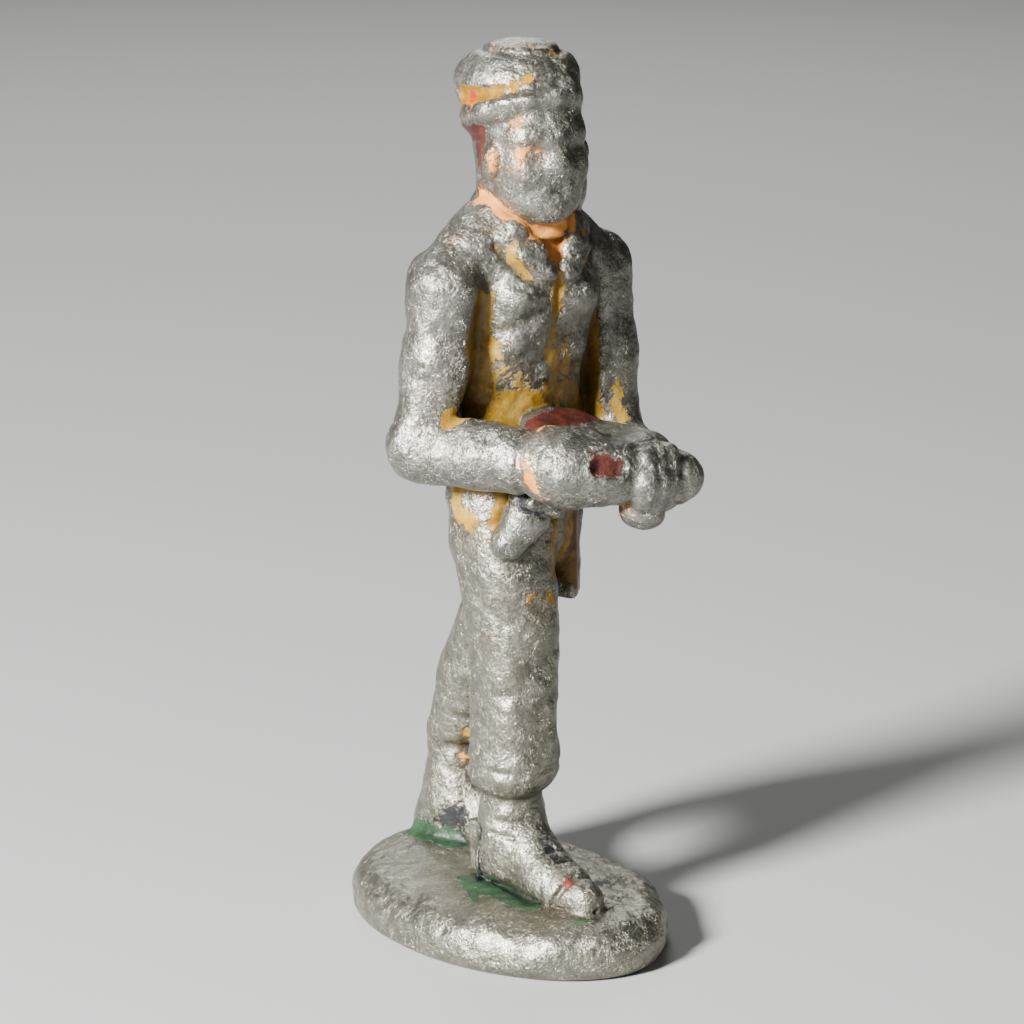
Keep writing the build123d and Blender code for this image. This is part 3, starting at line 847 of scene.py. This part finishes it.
class Nodes:
    """A material's node tree, with short ways to add what these finishes use."""

    def __init__(self, name):
        self.material = bpy.data.materials.new(name)
        self.material.use_nodes = True
        self.tree = self.material.node_tree
        self.tree.nodes.clear()
        self.place = self.add("ShaderNodeTexCoord").outputs["Object"]

    def add(self, kind, **settings):
        node = self.tree.nodes.new(kind)
        for key, value in settings.items():
            setattr(node, key, value)
        return node

    def put(self, socket, value):
        if isinstance(value, bpy.types.NodeSocket):
            self.tree.links.new(value, socket)
        else:
            socket.default_value = value

    def attribute(self, name):
        return self.add("ShaderNodeAttribute", attribute_name=name).outputs["Fac"]

    def math(self, operation, a, b=0.0):
        node = self.add("ShaderNodeMath", operation=operation)
        for socket, value in zip(node.inputs, (a, b)):
            self.put(socket, value)
        return node.outputs[0]

    def noise(self, size_mm, detail=3.0, rough=0.5, twist=0.0):
        """Noise with features about that many millimetres across, from 0 to 1."""
        node = self.add("ShaderNodeTexNoise")
        self.put(node.inputs["Vector"], self.place)
        self.put(node.inputs["Scale"], 1000.0 / size_mm)
        self.put(node.inputs["Detail"], detail)
        self.put(node.inputs["Roughness"], rough)
        self.put(node.inputs["Distortion"], twist)
        return node.outputs["Fac"]

    def ramp(self, value, low, high, to_low=0.0, to_high=1.0):
        """A smooth step from to_low to to_high, as the value goes from low to high."""
        node = self.add("ShaderNodeMapRange", interpolation_type="SMOOTHSTEP")
        ends = {"Value": value, "From Min": low, "From Max": high, "To Min": to_low, "To Max": to_high}
        for key, v in ends.items():
            self.put(node.inputs[key], v)
        return node.outputs[0]

    def mix(self, share, a, b):
        node = self.add("ShaderNodeMix", data_type="RGBA")
        self.put(node.inputs["Factor"], share)
        self.put(node.inputs["A"], a)
        self.put(node.inputs["B"], b)
        return node.outputs["Result"]

    def shaded(self, colour, share):
        """A colour darkened to that share of itself."""
        node = self.add("ShaderNodeMix", data_type="RGBA", blend_type="MULTIPLY")
        self.put(node.inputs["Factor"], 1.0)
        self.put(node.inputs["A"], colour)
        self.put(node.inputs["B"], rgb(share, share, share))
        return node.outputs["Result"]


def rgb(r, g, b):
    return (r, g, b, 1.0)


def worn_casting(name, tint, dirt_and_shade, paints, clinging):
    """Bare rough-cast metal, darkened in its hollows as painted shade, with what is left of the paint on top.

    Clinging is how far, in millimetres, the paint spreads from its patches into hollows.
    """
    n = Nodes(name)
    cavity = n.attribute("cavity")
    grain = n.noise(0.26, 3.0, 0.55, 0.3)
    cloud = n.noise(2.6, 4.0, 0.6)

    # the metal: burnished along short strokes that are brightened in colour as painted highlights, with dark
    # nicks, and darkened where it is sunk: real dirt in its pits, painted shade in its hollows
    line = n.math("ABSOLUTE", n.math("SUBTRACT", n.noise(0.5, 2.0, 0.55, 1.0), 0.5))
    scratch_and_glint = n.math("MULTIPLY", n.ramp(line, 0.045, 0.006), n.ramp(n.noise(1.1, 2.0), 0.44, 0.6))
    other = n.math("ABSOLUTE", n.math("SUBTRACT", n.noise(0.34, 2.0, 0.5, 1.5), 0.5))
    nick = n.math("MULTIPLY", n.ramp(other, 0.03, 0.004), n.ramp(n.noise(0.9, 2.0), 0.5, 0.6))
    bare = n.mix(n.ramp(cloud, 0.34, 0.66), rgb(*[c * 0.7 for c in tint]), rgb(*tint))
    # painted highlight: the burnished strokes are brightened in colour as tiny glints, over real scratch wear
    bare = n.mix(n.math("MULTIPLY", scratch_and_glint, 0.7), bare, rgb(*[min(c * 2.1, 0.92) for c in tint]))
    bare = n.mix(n.math("MULTIPLY", nick, 0.5), bare, rgb(*[c * 0.3 for c in tint]))
    pores = n.math("MULTIPLY", n.ramp(grain, 0.48, 0.32), 0.6)
    # painted shade: hollows are mixed toward the dirt-and-shade colour, with real dirt in the pits
    sunk = n.math("MINIMUM", n.math("ADD", n.ramp(cavity, 0.49, 0.66), pores), 1.0)
    colour = n.mix(n.math("MULTIPLY", sunk, 0.88), bare, rgb(*dirt_and_shade))
    metallic = n.ramp(sunk, 0.2, 1.0, 0.95, 0.5)
    rough = n.ramp(n.math("ADD", grain, n.math("MULTIPLY", scratch_and_glint, -0.3)), 0.25, 0.7, 0.31, 0.48)
    height = n.math("ADD", n.math("MULTIPLY", grain, 0.42), n.math("MULTIPLY", scratch_and_glint, 0.15))
    height = n.math("ADD", height, n.math("MULTIPLY", nick, -0.15))
    height = n.math("ADD", height, n.math("MULTIPLY", n.noise(1.2, 2.0, 0.5), 1.2))

    # the paint: a ragged edge, a stain past it, two tones within it, painted shade in its hollows, and a step
    # up from the metal
    ragged = n.math("MULTIPLY", n.math("SUBTRACT", n.noise(1.6, 6.0, 0.68, 0.6), 0.5), 3.2)
    chipped = n.math("MULTIPLY", n.math("SUBTRACT", n.noise(0.3, 2.0, 0.5), 0.5), 0.5)
    wander = n.math("ADD", ragged, chipped)
    pull = n.math("MULTIPLY", n.math("SUBTRACT", cavity, 0.5), -clinging)
    for paint_name, shade, deep, gloss in paints:
        level = n.math("ADD", n.attribute(paint_name), n.math("ADD", wander, pull))
        stain = n.math("MULTIPLY", n.ramp(level, 1.3, 0.0), n.ramp(grain, 0.6, 0.36))
        colour = n.mix(n.math("MULTIPLY", stain, 0.5), colour, rgb(*[c * 0.8 for c in deep]))
        cover = n.ramp(level, 0.09, -0.03)
        tone = n.mix(n.ramp(n.noise(2.0, 4.0, 0.6), 0.4, 0.6), rgb(*deep), rgb(*shade))
        # painted shade: the paint is darkened in its hollows
        settled = n.math("MULTIPLY", n.ramp(cavity, 0.54, 0.74), 0.75)
        tone = n.mix(settled, tone, rgb(*[c * 0.32 for c in deep]))
        colour = n.mix(cover, colour, tone)
        metallic = n.math("MULTIPLY", metallic, n.math("SUBTRACT", 1.0, cover))
        rough = n.ramp(cover, 0.0, 1.0, rough, gloss)
        flat = n.math("SUBTRACT", 1.0, n.math("MULTIPLY", cover, 0.55))
        height = n.math("ADD", n.math("MULTIPLY", height, flat), n.math("MULTIPLY", cover, 0.75))

    # painted shade: whatever lies deep between the forms is darkened
    painted_recess_shade = n.ramp(n.attribute("wide"), 0.54, 0.86)
    colour = n.mix(n.math("MULTIPLY", painted_recess_shade, 0.75), colour, n.shaded(colour, 0.25))
    bump = n.add("ShaderNodeBump")
    n.put(bump.inputs["Strength"], 1.0)
    n.put(bump.inputs["Distance"], BUMP_HEIGHT)
    n.put(bump.inputs["Height"], height)
    shader = n.add("ShaderNodeBsdfPrincipled")
    n.put(shader.inputs["Base Color"], colour)
    n.put(shader.inputs["Metallic"], metallic)
    n.put(shader.inputs["Roughness"], rough)
    n.put(shader.inputs["IOR"], PAINT_IOR)
    n.put(shader.inputs["Normal"], bump.outputs[0])
    output = n.add("ShaderNodeOutputMaterial")
    n.put(output.inputs["Surface"], shader.outputs[0])
    return n.material


BUMP_HEIGHT = 0.2 * MM
PAINT_IOR = 1.34
COOL_METAL, WARM_METAL = (0.225, 0.221, 0.187), (0.235, 0.226, 0.178)
# dirt colours that also serve as painted shade where the metal is sunk
GREY_DIRT_AND_SHADE, BROWN_DIRT_AND_SHADE = (0.028, 0.026, 0.022), (0.04, 0.032, 0.02)

# Each paint: where its strokes are listed, its fresh and its deep shade, and its roughness
OCHRE = ("ochre", (0.26, 0.135, 0.007), (0.15, 0.07, 0.004), 0.34)
KHAKI = ("ochre", (0.26, 0.16, 0.03), (0.18, 0.095, 0.005), 0.32)
# painted shade: the pouch and holster ochre is darkened as if it lay in deep shade
OCHRE_IN_PAINTED_SHADE = ("ochre", (0.12, 0.065, 0.01), (0.06, 0.03, 0.005), 0.4)
FLESH = ("flesh", (0.55, 0.23, 0.045), (0.44, 0.16, 0.03), 0.5)
MAROON = ("maroon", (0.05, 0.01, 0.006), (0.025, 0.006, 0.004), 0.5)
BLACK = ("black", (0.013, 0.0135, 0.016), (0.008, 0.008, 0.009), 0.3)
GREEN = ("green", (0.018, 0.048, 0.02), (0.01, 0.026, 0.012), 0.45)
RED = ("red", (0.3, 0.015, 0.008), (0.22, 0.012, 0.008), 0.4)

finishes = {
    "base_finish": worn_casting("base_finish", WARM_METAL, BROWN_DIRT_AND_SHADE, [GREEN, BLACK], 2.0),
    "cap_finish": worn_casting("cap_finish", COOL_METAL, GREY_DIRT_AND_SHADE, [OCHRE, FLESH, MAROON, RED], 2.5),
    "hair_finish": worn_casting("hair_finish", COOL_METAL, GREY_DIRT_AND_SHADE, [MAROON, FLESH], 4.0),
    "skin_finish": worn_casting("skin_finish", COOL_METAL, GREY_DIRT_AND_SHADE, [MAROON, FLESH], 1.5),
    "jacket_finish": worn_casting("jacket_finish", COOL_METAL, GREY_DIRT_AND_SHADE, [KHAKI, FLESH], 6.0),
    "trouser_finish": worn_casting("trouser_finish", WARM_METAL, GREY_DIRT_AND_SHADE, [OCHRE, FLESH, BLACK], 2.5),
    "boot_finish": worn_casting("boot_finish", WARM_METAL, BROWN_DIRT_AND_SHADE, [BLACK, GREEN, FLESH, RED], 2.0),
    "bundle_finish": worn_casting("bundle_finish", COOL_METAL, GREY_DIRT_AND_SHADE, [FLESH, MAROON], 2.0),
    "kit_finish": worn_casting("kit_finish", COOL_METAL, GREY_DIRT_AND_SHADE, [OCHRE_IN_PAINTED_SHADE, BLACK], 2.0),
}


# Pieces

slot_of = {entry["node"]: entry["material_slot"] for entry in frame["record"]["subparts"]}


def make_piece(name, label):
    """Cuts one piece's faces out of the shared skin and makes a closed mesh of them, named after its node."""
    forward = low_labels == label
    backward = high_labels == label
    faces = np.concatenate([quads[forward], quads[backward][:, ::-1]])
    is_skin = np.concatenate([high_labels[forward] < 0, low_labels[backward] < 0])
    used, faces = np.unique(faces, return_inverse=True)
    faces = faces.reshape(-1, 4).astype(np.int32)
    mesh = bpy.data.meshes.new(name)
    mesh.vertices.add(len(used))
    mesh.vertices.foreach_set("co", (places[used] * MM).astype(np.float32).ravel())
    mesh.loops.add(faces.size)
    mesh.loops.foreach_set("vertex_index", faces.ravel())
    mesh.polygons.add(len(faces))
    mesh.polygons.foreach_set("loop_start", np.arange(0, faces.size, 4, dtype=np.int32))
    mesh.update(calc_edges=True)
    mesh.polygons.foreach_set("use_smooth", np.ones(len(faces), dtype=bool))
    corners = places[used][faces]
    flat = np.cross(corners[:, 2] - corners[:, 0], corners[:, 3] - corners[:, 1])
    flat /= np.maximum(np.linalg.norm(flat, axis=1), 1e-9)[:, None]
    normals = np.where(is_skin[:, None, None], outward[used][faces], flat[:, None, :])
    mesh.normals_split_custom_set(normals.reshape(-1, 3).astype(np.float32))
    for key, values in {"cavity": cavity, "wide": wide_cavity, **paint}.items():
        layer = mesh.attributes.new(key, "FLOAT", "POINT")
        layer.data.foreach_set("value", values[used].astype(np.float32))
    mesh.materials.append(finishes[slot_of[name]])
    piece = bpy.data.objects.new("cast_" + name, mesh)
    bpy.context.scene.collection.objects.link(piece)
    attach(piece, "root")
    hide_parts(name)


for label, name in enumerate(names):
    make_piece(name, label)


# Floor, light and camera

FIGURE_MIDDLE = Vector((0, 0, 0.04))


def plain_material(name, colour, roughness):
    """An even matt material."""
    n = Nodes(name)
    shader = n.add("ShaderNodeBsdfPrincipled")
    n.put(shader.inputs["Base Color"], rgb(*colour))
    n.put(shader.inputs["Roughness"], roughness)
    output = n.add("ShaderNodeOutputMaterial")
    n.put(output.inputs["Surface"], shader.outputs[0])
    return n.material


def add_floor():
    """A plain pale floor that reaches far past the figure."""
    half = 3.0
    corners = [(-half, -half, 0), (half, -half, 0), (half, half, 0), (-half, half, 0)]
    mesh = bpy.data.meshes.new("floor")
    mesh.from_pydata(corners, [], [(0, 1, 2, 3)])
    mesh.materials.append(plain_material("floor_paper", (0.30, 0.30, 0.295), 0.85))
    floor = bpy.data.objects.new("floor", mesh)
    bpy.context.scene.collection.objects.link(floor)


def add_softbox(name, place, size, power):
    """A round soft light that faces the figure."""
    light = bpy.data.lights.new(name, "AREA")
    light.shape = "DISK"
    light.size = size
    light.energy = power
    lamp = bpy.data.objects.new(name, light)
    lamp.location = place
    lamp.rotation_euler = (FIGURE_MIDDLE - Vector(place)).to_track_quat("-Z", "Y").to_euler()
    bpy.context.scene.collection.objects.link(lamp)


def add_camera():
    """A long lens, a little above the figure and towards its right."""
    target = Vector((0.5, 0.4, 36.5)) * MM
    azimuth, elevation, distance = math.radians(-40), math.radians(14.6), 0.362
    level = math.cos(elevation)
    offset = Vector((math.sin(azimuth) * level, -math.cos(azimuth) * level, math.sin(elevation)))
    data = bpy.data.cameras.new("camera")
    data.sensor_width = 36.0
    data.lens = 151.2
    data.clip_start = 0.01
    camera = bpy.data.objects.new("camera", data)
    camera.location = target + offset * distance
    camera.rotation_euler = (-offset).to_track_quat("-Z", "Y").to_euler()
    bpy.context.scene.collection.objects.link(camera)
    bpy.context.scene.camera = camera


def set_world(colour, strength):
    """Even, dim light from all round."""
    world = bpy.data.worlds.new("studio")
    world.use_nodes = True
    background = world.node_tree.nodes["Background"]
    background.inputs["Color"].default_value = rgb(*colour)
    background.inputs["Strength"].default_value = strength
    bpy.context.scene.world = world


add_floor()
add_softbox("key", (-0.50, -0.06, 0.27), 0.12, 24.0)
add_softbox("fill", (-0.10, -0.60, 0.45), 0.30, 0.6)
add_softbox("rim", (0.32, 0.42, 0.40), 0.25, 1.8)
set_world((1.0, 0.99, 0.96), 0.06)
add_camera()
